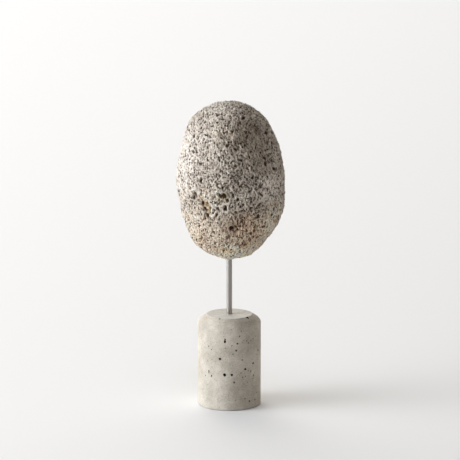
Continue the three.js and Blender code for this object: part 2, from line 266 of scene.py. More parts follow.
bubbles = bmesh.new()
darkness = []
for turn, height, radius, stretch, dark in AIR_HOLES:
    from_axis = DRUM_RADIUS - HOLE_SET_BACK * radius
    middle = facing(turn, 0) * from_axis + Vector((0, 0, height))
    add_bubble(bubbles, middle, radius, stretch, HOLE_FINENESS)
    darkness.append((middle, radius * max(1, stretch), dark))
for turn, radius, dark in TOP_EDGE_HOLES:
    middle = facing(turn, 0) * top_edge[0] + Vector((0, 0, top_edge[1] + 0.1))
    add_bubble(bubbles, middle, radius, 1, HOLE_FINENESS)
    darkness.append((middle, radius, dark))
for turn, size in FOOT_CHIPS:
    add_bubble(bubbles, facing(turn, 0) * DRUM_RADIUS, size, 1, CHIP_FINENESS)
low, high = PINHOLE_RADII
for _ in range(PINHOLES):
    turn, height = shuffle.uniform(-180, 180), shuffle.uniform(*PINHOLE_HEIGHTS)
    radius = low + (high - low) * shuffle.random() ** 2
    middle = facing(turn, 0) * DRUM_RADIUS + Vector((0, 0, height))
    dark = PINHOLE_DARKEST * shuffle.random()
    if noise.noise(middle / PINHOLE_CROWD) > shuffle.uniform(-CROWD_EDGE, CROWD_EDGE):
        add_bubble(bubbles, middle, radius, 1, PINHOLE_FINENESS)
        darkness.append((middle, radius, dark))
bubbles_piece = put_in_scene("bubbles", bubbles)

carving = drum.modifiers.new("holes", "BOOLEAN")
carving.operation = "DIFFERENCE"
carving.solver = "EXACT"
carving.use_self = True
carving.object = bubbles_piece
carved = bpy.data.meshes.new_from_object(
    drum.evaluated_get(bpy.context.evaluated_depsgraph_get())
)
drum.modifiers.clear()
drum.data = carved
bpy.data.objects.remove(bubbles_piece)

# Painted shade in the air holes: how dark, from 0 to 1, by how deep under the skin.
hole_tree = kdtree.KDTree(len(darkness))
for index, (middle, _, _) in enumerate(darkness):
    hole_tree.insert(middle, index)
hole_tree.balance()
hole_shade_in = carved.attributes.new("dirt_and_shade", "FLOAT", "POINT").data
for vert, mark in zip(carved.vertices, hole_shade_in):
    for _, index, apart in hole_tree.find_n(vert.co, 4):
        middle, radius, dark = darkness[index]
        under = DRUM_RADIUS - math.hypot(vert.co.x, vert.co.y)
        if apart < HOLE_SHADE_REACH * radius and under > HOLE_SHADE_FROM:
            gathered = min(1, (under - HOLE_SHADE_FROM) / (HOLE_SHADE_FULL * radius))
            mark.value = max(mark.value, dark * gathered)


class Varying:
    """A number, colour or place that changes over a surface: one output of a node."""

    def __init__(self, finish, socket):
        self.finish = finish
        self.socket = socket

    def with_other(self, operation, first, second):
        return self.finish.node("ShaderNodeMath", {0: first, 1: second}, operation=operation)

    def __add__(self, other):
        return self.with_other("ADD", self, other)

    def __mul__(self, other):
        return self.with_other("MULTIPLY", self, other)

    def __sub__(self, other):
        return self.with_other("SUBTRACT", self, other)

    def __truediv__(self, other):
        return self.with_other("DIVIDE", self, other)

    def __rsub__(self, other):
        return self.with_other("SUBTRACT", other, self)

    __radd__ = __add__
    __rmul__ = __mul__


CLOUD_SPREAD = (0.3, 0.7)  # most of a cloud lies between these


class Finish:
    """A surface finish, laid out on the piece's own coordinates."""

    def __init__(self, owner, coordinates="Object"):
        self.owner = owner
        owner.use_nodes = True
        owner.node_tree.nodes.clear()
        self.place = self.node("ShaderNodeTexCoord", output=coordinates)

    def node(self, kind, sockets=None, output=0, **settings):
        """Adds a node with these inputs and settings, and gives one of its outputs."""
        tree = self.owner.node_tree
        made = tree.nodes.new(kind)
        for setting, value in settings.items():
            setattr(made, setting, value)
        for socket, value in (sockets or {}).items():
            if isinstance(value, Varying):
                tree.links.new(value.socket, made.inputs[socket])
            else:
                made.inputs[socket].default_value = value
        return Varying(self, made.outputs[output]) if made.outputs else None

    def cloud(self, size, detail=2.0, roughness=0.5, place=None, output=0):
        """Soft patches of about this size, from 0 to 1."""
        return self.node(
            "ShaderNodeTexNoise",
            {
                "Vector": place or self.place,
                "Scale": 1 / (size * MM),
                "Detail": detail,
                "Roughness": roughness,
            },
            output=output,
        )

    def cells(self, size, output="Distance", place=None):
        """Cells of about this size: the distance to a cell's middle, in cells, or its colour."""
        return self.node(
            "ShaderNodeTexVoronoi",
            {"Vector": place or self.place, "Scale": 1 / (size * MM)},
            output=output,
        )

    def grade(self, value, low, high, start=0.0, end=1.0):
        """From start to end as the value goes from low to high."""
        return self.node(
            "ShaderNodeMapRange",
            {0: value, 1: low, 2: high, 3: start, 4: end},
            interpolation_type="SMOOTHSTEP",
        )

    def vary(self, cloud, start, end):
        """From start to end over the spread of a cloud."""
        return self.grade(cloud, *CLOUD_SPREAD, start, end)

    def blend(self, share, first, second, how="MIX"):
        """The first colour with a share of the second laid over it."""
        first, second = (c if isinstance(c, Varying) else (*c, 1) for c in (first, second))
        # The node's colours are its inputs 6 and 7 and its output 2.
        return self.node(
            "ShaderNodeMix",
            {0: share, 6: first, 7: second},
            output=2,
            data_type="RGBA",
            blend_type=how,
        )

    def shade(self, colour, amount):
        """The colour made lighter or darker by an amount, 1 leaving it as it is."""
        return self.node(
            "ShaderNodeVectorMath", {0: colour, 3: amount}, operation="SCALE"
        )

    def bump(self, height, depth):
        """The way the skin faces when a height of 1 stands for this depth."""
        sockets = {"Height": height, "Distance": depth * MM, "Strength": 1.0}
        return self.node("ShaderNodeBump", sockets)

    def surface(self, sockets):
        """The material, once its skin is made with these inputs."""
        skin = self.node("ShaderNodeBsdfPrincipled", sockets)
        self.node("ShaderNodeOutputMaterial", {"Surface": skin})
        return self.owner


CONCRETE_PALE = (0.49, 0.457, 0.403)
CONCRETE_GREY = (0.392, 0.36, 0.311)
CONCRETE_DARK = (0.16, 0.145, 0.125)
CONCRETE_TOP = (0.507, 0.488, 0.455)  # the struck-off top, rubbed paler
SHOULDER_PAINTED_LIGHT = 0.14  # painted light: how much paler the shoulder is painted on its left, where the light falls, than in its middle
# The colour of the painted shade inside the air holes.
HOLE_SHADE_COLOUR = (0.012, 0.01, 0.008)
SAND_GRAIN = 0.9
SPECK_SPACING = 2.2
SPECK_STRENGTH = 0.6
FRECKLE_SPACING = 1.2
FRECKLE_STRENGTH = 0.35
CAST_BUMP = 0.14

concrete = Finish(bpy.data.materials.new("cast_concrete"))
dirt_and_shade = concrete.node("ShaderNodeAttribute", output="Fac", attribute_name="dirt_and_shade")
wash = concrete.cloud(26, detail=3, roughness=0.55)
mottle = concrete.cloud(5, detail=4, roughness=0.6)
grain = concrete.cloud(SAND_GRAIN, detail=2, roughness=0.7)
crowd = concrete.cloud(12, detail=1)
specks = concrete.cells(SPECK_SPACING)
speck_size = concrete.cloud(7, detail=1)
speck = concrete.grade(specks + 0.22 * speck_size, 0.22, 0.3, 1, 0)
freckle = concrete.grade(concrete.cells(FRECKLE_SPACING), 0.16, 0.32, 1, 0)
freckled = freckle * concrete.grade(crowd, 0.42, 0.6)
tone = concrete.blend(concrete.grade(wash, 0.36, 0.64), CONCRETE_PALE, CONCRETE_GREY)
tone = concrete.shade(tone, concrete.vary(mottle, 0.91, 1.07))
tone = concrete.shade(tone, concrete.vary(grain, 0.88, 1.12))
across = concrete.node("ShaderNodeSeparateXYZ", {0: concrete.place}, output=0)
height_up = concrete.node("ShaderNodeSeparateXYZ", {0: concrete.place}, output=2)
on_shoulder = concrete.grade(height_up, (SIDE_HEIGHT + 1) * MM, (SIDE_HEIGHT + 5) * MM)
# Painted light: the shoulder is painted paler on its left and darker on its right.
painted_light_and_dull_patches = concrete.grade(across, -15 * MM, 15 * MM, SHOULDER_PAINTED_LIGHT, -SHOULDER_PAINTED_LIGHT)
tone = concrete.shade(tone, 1 + on_shoulder * painted_light_and_dull_patches)
rubbed = concrete.vary(mottle, 0.93, 1.06) * concrete.vary(grain, 0.9, 1.1)
top_tone = concrete.shade(CONCRETE_TOP, rubbed)
on_top = concrete.grade(height_up, (DRUM_HEIGHT - 0.35) * MM, (DRUM_HEIGHT - 0.1) * MM)
tone = concrete.blend(on_top, tone, top_tone)
tone = concrete.blend(FRECKLE_STRENGTH * freckled, tone, CONCRETE_DARK)
tone = concrete.blend(SPECK_STRENGTH * speck, tone, CONCRETE_DARK)
# Painted shade darkens the inside of the air holes.
tone = concrete.blend(dirt_and_shade, tone, HOLE_SHADE_COLOUR)
skin_height = grain + 0.8 * mottle - 0.6 * speck - 0.5 * freckled
cast_concrete = concrete.surface(
    {
        "Base Color": tone,
        "Roughness": concrete.vary(mottle, 0.78, 0.9),
        "Specular IOR Level": 0.3,
        "Normal": concrete.bump(skin_height, CAST_BUMP),
    }
)
finish_piece(drum, cast_concrete, "base", crease=38)

# ---- The rod: 5 mm round steel bar, drawn and satin-polished along its length, its ends chamfered,
# set 42 mm deep in the concrete and 28 mm deep in the stone.

ROD_RADIUS = 2.5
ROD_CHAMFER = 0.4
ROD_SIDES = 64
STEEL = (0.37, 0.355, 0.335)
STEEL_DULL = (0.29, 0.275, 0.255)
LINE_WIDTH = 0.25
LINE_STRETCH = 0.02  # how much closer the lines lie across the rod than along it
LINE_BUMP = 0.02

rod_side_foot = (ROD_RADIUS, ROD_FOOT + ROD_CHAMFER)
rod_side_top = (ROD_RADIUS, ROD_TOP - ROD_CHAMFER)
rod_path = [
    (0, ROD_FOOT),
    (ROD_RADIUS - ROD_CHAMFER, ROD_FOOT),
    rod_side_foot,
    *straight(rod_side_foot, rod_side_top, 4),
    (ROD_RADIUS - ROD_CHAMFER, ROD_TOP),
    (0, ROD_TOP),
]
rod = put_in_scene("steel_rod", turned(rod_path, ROD_SIDES))

steel = Finish(bpy.data.materials.new("drawn_steel"))
along = steel.node("ShaderNodeMapping", {"Vector": steel.place, "Scale": (1, 1, LINE_STRETCH)})
lines = steel.cloud(LINE_WIDTH, detail=3, roughness=0.7, place=along)
painted_light_and_dull_patches = steel.cloud(9, detail=3)
drawn_steel = steel.surface(
    {
        "Base Color": steel.blend(0.5 * lines + 0.4 * painted_light_and_dull_patches, STEEL, STEEL_DULL),
        "Metallic": 1.0,
        "Roughness": steel.vary(lines, 0.3, 0.44),
        "Normal": steel.bump(lines, LINE_BUMP),
    }
)
finish_piece(rod, drawn_steel, "rod", crease=30)

# ---- The stone: one light, crumbly, porous pebble, worn to an egg. Its skin is packed grains with
# pores between them, and a few wider pits and clefts. It is drilled from below to sit on the rod.

STONE_CENTRE = Vector((1.2, 0, 204.6))
HALF_WIDTH = 50
HALF_HEIGHT = 72
FRONT_DEPTH = 41
BACK_DEPTH = 39.5
FULLNESS = 2.2
CUTS = 127  # of each edge of the cube that the egg is made from

# The outline from the front: distance from the centre every 15 degrees, from +X towards +Z.
OUTLINE = np.array([
    49, 49.5, 52, 57, 64, 69.5, 72.5, 70.5, 67, 58, 51.5, 50.5,
    49.5, 49, 50.5, 56.5, 65, 69.5, 71.5, 69, 62.5, 58.5, 54, 50,
])

# Worn flats: where each faces (turn, rise) and how deep it cuts into the egg.
FLATS = [
    (-32, 24, 1.8),
    (40, 28, 2),
    (150, 25, 1.6),
    (-138, -18, 1.8),
    (-150, 48, 0.8),
    (128, -38, 1),
]
FLAT_BLEND = 1.6  # over how many millimetres a flat runs into the egg
FLAT_REACH = 0.3  # the least cosine of the angle from a flat's facing at which it still cuts

# Swells and hollows: turn, rise, half-width and height.
SWELLS = [
    # the ridge down the upper front, with a shallow valley on its left
    (9, 66, 5, 0.8),
    (8, 54, 5, 0.6),
    (-6, 66, 5, -0.9),
    (-4, 52, 5, -0.8),
    # upper front
    (-56, 56, 9.5, 0.7),
    (-19, 56, 9.5, 1),
    (19, 56, 9.5, -0.6),
    (-60, 40, 9.5, -0.8),
    (30, 40, 9.5, -1.1),
    # waist, with the smooth bulge on its right
    (43, 8, 9.5, 2.4),
    (43, -8, 9, 0.4),
    (64, 8, 9.5, 0.5),
    (0, 8, 9.5, 0.9),
    (0, -8, 9.5, -0.8),
    (21, -8, 9.5, 0.7),
    # the pale ridge beside the cleft
    (-24, -16, 4, 1),
    (-24, -25, 4, 1.3),
    (-24, -34, 4, 0.9),
    # lower front
    (-38, -24, 9.5, -0.9),
    (-62, -24, 9.5, 0.4),
    (-90, -37, 9.5, 1.2),
    (38, -24, 9, -0.4),
    (62, -24, 9.5, -0.8),
    (66, -36, 6, -0.8),
    (76, -30, 5, 0.7),
    (-30, -40, 9.5, -1),
    (30, -40, 9.5, -1.1),
    (-19, -56, 9.5, 1.5),
    # sides and back
    (112, 8, 12, 0.7),
    (175, -8, 14, 0.7),
    (-165, 30, 12, -1.2),
    (-112, 12, 12, 0.8),
    (-150, -45, 11, 1),
    (100, -45, 10, -0.7),
    (160, 60, 10, 1),
]

# Slow waves over the whole surface.
WAVES = 14
WAVE_HEIGHT = 0.2
LONGEST_WAVE = 44
SHORTEST_WAVE = 13

# Pits and clefts: turn, rise, half-length, half-width, lean of the long side from upright, depth.
PITS = [
    (1.3, -45.5, 2.9, 2, -20, 3.2),  # the deepest, low in the middle
    (-4.2, -53.4, 2.2, 2.2, 0, 0.9),  # the shallow ring under it
    (-8.7, -10.5, 3.4, 2.7, -30, 2.2),  # the wide hollow at the waist
    (-4, -14.5, 1.9, 1.5, 10, 1.8),
    (-9, 0.5, 2, 1.5, 30, 1.5),
    (-44, -8.2, 3.4, 3, 0, 1.4),  # the grey hollow on the left
    (-46.5, -12.5, 2, 1.3, 20, 2),
    (-34.5, -18.5, 2.8, 1.7, -25, 2),  # the ochre cleft, in three lengths
    (-32.6, -25, 3.6, 1.7, -15, 2.2),
    (-30.5, -32.6, 2.8, 1.9, -20, 2.6),
    (-16, -24.8, 2.6, 1.4, -25, 1.9),  # lower front
    (35, -48.1, 1.9, 1.5, 20, 2),
    (25.7, -60.9, 1.9, 1.5, 0, 1.6),
    (-16.8, -68.4, 1.8, 1.3, 40, 1.5),
    (-45.8, -52.6, 2.6, 1.8, 60, 1.3),
    (60.2, -14, 3.6, 1.3, 14, 1.5),  # the grooves near the right edge
    (59.6, -26.3, 4, 1.4, 20, 1.6),
    (69.8, -37.6, 2.6, 1.5, 20, 1.6),
    (25.8, -24.8, 2.6, 1.2, 55, 1.4),  # the slanting grooves right of the middle
    (35.6, -20.3, 2.8, 1.2, 62, 1.4),
    (15.7, -27.2, 1.8, 1.3, 60, 1.4),
    (26.4, 11.8, 1.8, 1.5, 20, 1.6),  # upper front
    (13, 3.2, 1.7, 1.3, 0, 1.4),
    (47.7, 31.6, 1.9, 1.4, -20, 1.6),
    (6, 43.3, 1.7, 1.4, 30, 1.7),
    (-4, 46.2, 2.3, 1.6, 50, 1.5),
    (3, 57, 2.2, 1.5, 30, 1.2),
    (-52, 62.9, 1.7, 1.6, 0, 1.7),
    (-58, 60.3, 1.6, 1.4, 30, 1.5),
    (-36.1, 62.1, 1.9, 1.6, 60, 1.7),
    (-32.7, 82.5, 1.7, 1.4, 0, 1.3),
    (38, 44, 1.8, 1.4, 30, 1.4),
    (60, 44, 2.2, 1.5, 10, 1.4),
    (18, 79, 3.6, 1.2, 80, 1),  # the curved ledge near the top
    (44, 78, 3.4, 1.2, 70, 1),
]
PIT_FLOOR = 0.55  # how far out its floor reaches, the edge being 1
PIT_LIP = 0.12  # how high its lip stands, of its depth
LIP_AT = 1.12
LIP_WIDTH = 0.16
PIT_REACH = 1.7  # how far out its lip reaches
FILLING_SIZE = 1.6  # the size of the crumbs that part fill the pits
LEFT_OPEN = (0.3, 1.2)  # the least and the most of its depth that a pit keeps
DARKENING_STARTS = 0.35  # the depth at which a pit's bottom begins to darken, with dirt and painted shade
DARKENING_SPREAD = 1.35  # how much deeper it is darkest
SCATTERED_PITS = 160
NARROWEST_PIT = 1.05  # half-width
WIDEST_PIT = 2.15
LONGEST_PIT = 1.6  # length over width
PIT_STEEPNESS = 1.05  # depth over half-width
PIT_WALL = 0.9  # the least wall between two pits
MOST_TRIES = 9000
SEED = 20

PORES = 17000
PORE_WIDTHS = (0.4, 0.9)  # half-widths
LONGEST_PORE = 1.8
PORE_LEAN = 35  # the pores were drawn out upwards, give or take this lean
PORE_STEEPNESS = 1.6
CROWD_SIZE = 9  # pores crowd together in patches of about this size
CROWDING = 1.3  # how strongly
# How far the edges of pits, pores, stains and painted light and shade stray, and over what length.
RAGGED = [(0.7, 1.5), (1.2, 4.5)]
STRAY_SHIFTS = (0, 200, 400)  # so that the three directions stray apart from each other
UPRIGHT_GRAIN = 0.62  # how much closer patches lie across than up the stone
LUMP_SIZE = 9
LUMP_HEIGHT = 1.1
LUMP_LEVEL = 0.8  # the lumps' noise where the skin stays as it is
CRUMB_SIZE = 1.55
CRUMB_HEIGHT = 1
CREST = 0.65  # how high the crests stand before they are worn off
SKIN_LOSS = 0.38  # how much the whole stone has worn down
LEVELLING = 8  # rounds of averaging that give the level of the skin round a point

# What each change in the tint, a stain or painted light and shade, makes of the stone's red, green
# and blue at a strength of 1.
LIGHTENED = (1.5, 1.5, 1.55)
CREAMED = (1.8, 1.72, 1.6)
WARM_LIGHTENED = (1.52, 1.38, 1.26)
RUDDY = (1.3, 1.1, 0.97)
DARKENED = (0.7, 0.67, 0.63)
GREENED = (0.6, 0.57, 0.47)
OCHRE = (0.55, 0.45, 0.3)
BROWNED = (0.6, 0.5, 0.4)

# Where the stone is stained, and where light and shade are painted on it: turn, rise, half-width,
# colour change and strength.
STAINS_AND_PAINTED_LIGHT = [
    # broad zones, mostly painted light and shade: light on the left, shade on the upper right, warm
    # light from the floor below
    (-62, 38, 28, LIGHTENED, 0.9),
    (-60, 5, 18, LIGHTENED, 0.75),
    (-56, -42, 20, WARM_LIGHTENED, 0.75),
    (-8, 56, 14, DARKENED, 0.75),
    (28, 44, 17, DARKENED, 1),
    (38, 62, 8, DARKENED, 0.75),
    (24, -44, 13, RUDDY, 1),
    (2, -42, 10, BROWNED, 0.4),
    (52, 0, 12, LIGHTENED, 1.4),
    (60, -30, 14, WARM_LIGHTENED, 1),
    (14, -76, 22, WARM_LIGHTENED, 1.6),
    (60, -45, 12, WARM_LIGHTENED, 0.7),
    (-22, -10, 11, CREAMED, 0.8),
    (-10, 80, 12, LIGHTENED, 0.6),
    (-150, 20, 30, LIGHTENED, 0.4),
    (140, -30, 26, DARKENED, 0.5),
    # dark blotches of the upper right
    (15, 61, 4, DARKENED, 0.4),
    (47, 57, 4.5, DARKENED, 1),
    (19, 52, 4, DARKENED, 1.1),
    (46, 33, 4.5, DARKENED, 1),
    (32, 26, 4, DARKENED, 0.8),
    (42, 20, 4, DARKENED, 0.8),
    # the ochre cleft, its dark bottom, and the cream ridge beside it
    (-31, -18.5, 2.2, OCHRE, 1.2),
    (-28.5, -22, 2.2, OCHRE, 0.6),
    (-27.5, -26, 2.2, OCHRE, 0.7),
    (-28, -29.5, 2.2, OCHRE, 0.2),
    (-36.5, -14, 1.8, OCHRE, 1.2),
    (-35.5, -19, 1.8, OCHRE, 1.4),
    (-33, -23.5, 1.7, OCHRE, 0.9),
    (-31.5, -28, 1.7, OCHRE, 0.7),
    (-31, -33.5, 2.4, BROWNED, 1.6),
    (-24, -17, 2.8, CREAMED, 1),
    (-24, -24, 2.8, CREAMED, 1.1),
    (-24.5, -31, 2.8, CREAMED, 1.2),
    # the pale spot above the cleft
    (-31, -7, 3.6, CREAMED, 0.5),
    # hollows darkened to grey-green and brown
    (-8.5, -11.5, 4.5, GREENED, 1.3),
    (-45.5, -10, 4, GREENED, 0.4),
    (1.3, -45.5, 3.2, BROWNED, 3),
    (36, -48, 2.4, BROWNED, 0.5),
    (-50, -54, 4.5, OCHRE, 0.3),
    (-14, -68, 4, OCHRE, 0.4),
    (24, -61, 4.5, BROWNED, 0.7),
    (68, -38, 2.8, BROWNED, 1),
    (60, -20, 2.4, BROWNED, 1.2),
]


def outline_at(angle):
    """How far out the outline lies at an angle, smooth between the listed distances."""
    place = (angle / (2 * np.pi) % 1) * len(OUTLINE)
    i = np.floor(place).astype(int)
    u = place - i
    a, b, c, d = (OUTLINE[(i + k) % len(OUTLINE)] for k in (-1, 0, 1, 2))
    return b + 0.5 * u * (c - a + u * (2 * a - 5 * b + 4 * c - d + u * (3 * (b - c) + d - a)))


def depth_of(direction):
    """The egg's half-depth on the side a direction points to."""
    return np.where(direction[..., 1] < 0, FRONT_DEPTH, BACK_DEPTH)


def egg_at(direction):
    """How far out the egg's skin lies in a direction."""
    across = np.hypot(direction[..., 0], direction[..., 2])
    outline = outline_at(np.arctan2(direction[..., 2], direction[..., 0]))
    through = np.abs(direction[..., 1]) / depth_of(direction)
    return ((across / outline) ** FULLNESS + through**FULLNESS) ** (-1 / FULLNESS)


def worn_at(direction):
    """The same once its flats are worn."""
    radius = egg_at(direction)
    for turn, rise, cut in FLATS:
        normal = np.array(facing(turn, rise))
        reach = np.array([HALF_WIDTH, depth_of(normal), HALF_HEIGHT]) * normal
        distance = np.linalg.norm(reach) - cut
        towards = direction @ normal
        over = (radius - distance / np.maximum(towards, FLAT_REACH)) / FLAT_BLEND
        planed = radius - FLAT_BLEND * np.log1p(np.exp(np.minimum(over, 50)))
        radius = np.where(towards < FLAT_REACH, radius, planed)
    return radius


def on_stone(turn, rise):
    """The point of the worn egg at a turn and a rise, from its centre."""
    direction = np.array(facing(turn, rise))
    return direction * worn_at(direction)


Pit = namedtuple("Pit", "centre long short length width depth")


def make_pit(turn, rise, length, width, lean, depth):
    """A pit at a place on the stone, with the directions of its long and short sides."""
    centre = on_stone(turn, rise)
    half_sizes = np.array([HALF_WIDTH, depth_of(centre), HALF_HEIGHT])
    normal = Vector(centre / half_sizes**2).normalized()
    level = Vector((-normal.y, normal.x, 0)).normalized()
    long = Matrix.Rotation(-math.radians(lean), 3, normal) @ normal.cross(level)
    short = long.cross(normal)
    return Pit(centre, np.array(long), np.array(short), length, width, depth)


pits = [make_pit(*pit) for pit in PITS]
state = SEED
tries = 0


def chance(low, high):
    """A number between low and high, drawn as the solids draw theirs."""
    global state
    state = (state * 1664525 + 1013904223) % 2**32
    return low + (high - low) * state / 2**32


while len(pits) < len(PITS) + SCATTERED_PITS and tries < MOST_TRIES:
    tries += 1
    turn = chance(-180, 180)
    rise = math.degrees(math.asin(chance(-1, 1)))
    width = NARROWEST_PIT + (WIDEST_PIT - NARROWEST_PIT) * chance(0, 1) ** 2
    length = width * chance(1, LONGEST_PIT)
    lean = chance(-90, 90)
    pit = make_pit(turn, rise, length, width, lean, width * PIT_STEEPNESS)
    walls = (math.dist(other.centre, pit.centre) - other.length - length for other in pits)
    if all(wall > PIT_WALL for wall in walls):
        pits.append(pit)

# The blank is a finely divided cube drawn out to the egg.
stone_shape = bmesh.new()
bmesh.ops.create_cube(stone_shape, size=2)
bmesh.ops.subdivide_edges(stone_shape, edges=stone_shape.edges, cuts=CUTS, use_grid_fill=True)
blank = np.array([vert.co for vert in stone_shape.verts])
directions = np.tan(blank * np.pi / 4) * (HALF_WIDTH, FRONT_DEPTH, HALF_HEIGHT)
directions /= np.linalg.norm(directions, axis=1)[:, None]

worn = worn_at(directions)
places = directions * worn[:, None]
radii = worn.copy()
for k in range(WAVES):
    length = LONGEST_WAVE * (SHORTEST_WAVE / LONGEST_WAVE) ** (k / (WAVES - 1))
    rise = math.degrees(math.asin(1 - (2 * k + 1) / WAVES))
    way = np.array(facing(math.degrees(math.pi * (3 - math.sqrt(5)) * k), rise))
    height = WAVE_HEIGHT * math.sqrt(length / LONGEST_WAVE)
    radii += height * np.sin(2 * np.pi * (places @ way) / length + k * k)
for turn, rise, width, height in SWELLS:
    away = np.linalg.norm(places - on_stone(turn, rise), axis=1) / width
    radii += height * np.exp(-(away**2))


def patches(size, points):
    """Soft patches of about this size, from -1 to 1, at these points."""
    return np.array([noise.noise(Vector(p)) for p in points / size])


def smooth_step(value):
    """From 0 to 1 as the value does, levelling off at both ends."""
    value = np.clip(value, 0, 1)
    return value * value * (3 - 2 * value)


strayed = places.copy()
for reach, size in RAGGED:
    strayed += reach * np.stack([patches(size, places + shift) for shift in STRAY_SHIFTS], axis=1)
tree = kdtree.KDTree(len(strayed))
for index, place in enumerate(strayed):
    tree.insert(place, index)
tree.balance()


def sink(pit, reach):
    """The points near a pit, and how far out from its middle each lies: 1 on its edge."""
    found = tree.find_range(pit.centre, reach * pit.length)
    near = np.array([index for _, index, _ in found], dtype=int)
    offset = strayed[near] - pit.centre
    return near, np.hypot(offset @ pit.long / pit.length, offset @ pit.short / pit.width)


# Pits are ragged and part filled with crumbs; the bottom of each is darkened, partly by dirt and
# partly by painted shade.
sunk = np.zeros(len(places))
dirt_and_shade = np.zeros(len(places))
rim = np.zeros(len(places))
filling = patches(FILLING_SIZE, places)
for pit in pits:
    near, out = sink(pit, PIT_REACH)
    depth = pit.depth * np.clip(0.85 + 0.5 * filling[near], *LEFT_OPEN)
    fall = smooth_step((1 - out) / (1 - PIT_FLOOR))
    sunk[near] = np.maximum(sunk[near], depth * fall)
    dirt_and_shade[near] = np.maximum(dirt_and_shade[near], smooth_step((depth * fall - DARKENING_STARTS) / DARKENING_SPREAD))
    rim[near] += pit.depth * PIT_LIP * np.exp(-(((out - LIP_AT) / LIP_WIDTH) ** 2))

scatter = np.random.default_rng(11)
low, high = PORE_WIDTHS
for _ in range(PORES):
    turn, rise = scatter.uniform(-180, 180), math.degrees(math.asin(scatter.uniform(-1, 1)))
    width = low + (high - low) * scatter.random() ** 5
    length = width * scatter.uniform(1, LONGEST_PORE)
    lean = scatter.normal(0, PORE_LEAN)
    darkness = scatter.random() ** 0.6
    crowd = 0.5 + CROWDING * noise.noise(Vector(on_stone(turn, rise)) / CROWD_SIZE)
    if scatter.random() > crowd:
        continue
    pore = make_pit(turn, rise, length, width, lean, width * PORE_STEEPNESS)
    near, out = sink(pore, 1.0)
    fall = np.sqrt(np.clip(1 - out**2, 0, 1))
    sunk[near] = np.maximum(sunk[near], pore.depth * fall)
    # Pores are darkened towards their middles, partly by dirt and partly by painted shade.
    dirt_and_shade[near] = np.maximum(dirt_and_shade[near], darkness * fall)

grained = strayed * (1, 1, UPRIGHT_GRAIN)
lumps = np.array([noise.turbulence(Vector(p), 4, True) for p in grained / LUMP_SIZE])
crumbled = CRUMB_HEIGHT * patches(CRUMB_SIZE, grained)
relief = rim - sunk + crumbled + LUMP_HEIGHT * (lumps - LUMP_LEVEL)
relief = np.where(relief > 0, CREST * np.tanh(relief / CREST), relief)
radii += relief - SKIN_LOSS

# How far each point lies below the skin round it, which is where dust and shade gather.
pairs = np.array([[vert.index for vert in edge.verts] for edge in stone_shape.edges])
ends, others = pairs.T.ravel(), pairs[:, ::-1].T.ravel()
neighbours = np.bincount(ends)
level = relief
for _ in range(LEVELLING):
    level = np.bincount(ends, weights=level[others]) / neighbours

# The tint carries the stains and the painted light and shade.
tint = np.ones((len(places), 3))
for turn, rise, width, tint_change, strength in STAINS_AND_PAINTED_LIGHT:
    away = np.linalg.norm(strayed - on_stone(turn, rise), axis=1) / width
    share = np.exp(-(away**2))[:, None]
    tint *= 1 - share + share * np.array(tint_change) ** strength

dirt_and_shade_layer = stone_shape.verts.layers.float.new("dirt_and_shade")
hollow_layer = stone_shape.verts.layers.float.new("hollow")
tint_layer = stone_shape.verts.layers.float_color.new("tint")
finished = zip(stone_shape.verts, directions * radii[:, None], dirt_and_shade, level - relief, tint)
for vert, place, dark, below, colour in finished:
    vert.co = Vector(place) + STONE_CENTRE
    vert[dirt_and_shade_layer] = dark
    vert[hollow_layer] = below
    vert[tint_layer] = (*colour, 1)

# The drilling: the skin inside the hole's mouth is taken out and the edge drawn up the hole.
bored = [
    face
    for face in stone_shape.faces
    if face.calc_center_median().z < STONE_CENTRE.z
    and face.calc_center_median().to_2d().length < ROD_HOLE_RADIUS
]
bmesh.ops.delete(stone_shape, geom=bored, context="FACES")
edge = [e for e in stone_shape.edges if e.is_boundary]
for vert in {v for e in edge for v in e.verts}:
    vert.co.xy *= ROD_HOLE_RADIUS / vert.co.to_2d().length
drawn = bmesh.ops.extrude_edge_only(stone_shape, edges=edge)["geom"]
for item in drawn:
    if isinstance(item, bmesh.types.BMVert):
        item.co.z = ROD_TOP + FIT_GAP
bmesh.ops.contextual_create(
    stone_shape, geom=[item for item in drawn if isinstance(item, bmesh.types.BMEdge)]
)
bmesh.ops.recalc_face_normals(stone_shape, faces=stone_shape.faces)

stone = put_in_scene("porous_stone", stone_shape)

STONE_CREAM = (0.705, 0.65, 0.577)
STONE_GREY = (0.575, 0.519, 0.456)
STONE_WARM = (0.695, 0.587, 0.485)
WARMTH = 0.7  # how far the lower stone goes to that warm colour
WARM_UP_TO = 135  # the heights between which its warmth fades out
WARM_NO_HIGHER = 200
STONE_PALEST = (0.74, 0.7, 0.65)  # no grain is paler than this
SHADE_BROWN = (0.52, 0.43, 0.34)  # what the hollows leave of the stone's colour
PIT_BROWN = (0.055, 0.038, 0.026)
PINHOLE_SPACING = 2
PINHOLE_STRENGTH = 0.9
PINPRICK_SPACING = 1.2
PINPRICK_STRENGTH = 0.8
WIDEST_PINHOLE = 0.5  # of the spacing
DIRT_AND_SHADE_STRENGTH = 0.95
SHADED_DEPTHS = (-0.2, 0.6)  # how far below the skin's level the shade begins, and is full
CRYSTAL_SIZE = 1
CRUMBLY_BUMP = 2.6
LIGHTENED_GREENS = (1.15, 1.5)  # the tint's green where the skin counts as painted lighter, and fully so
RUBBED = 0.6  # how much of its crumbs' height the skin keeps where light is painted on

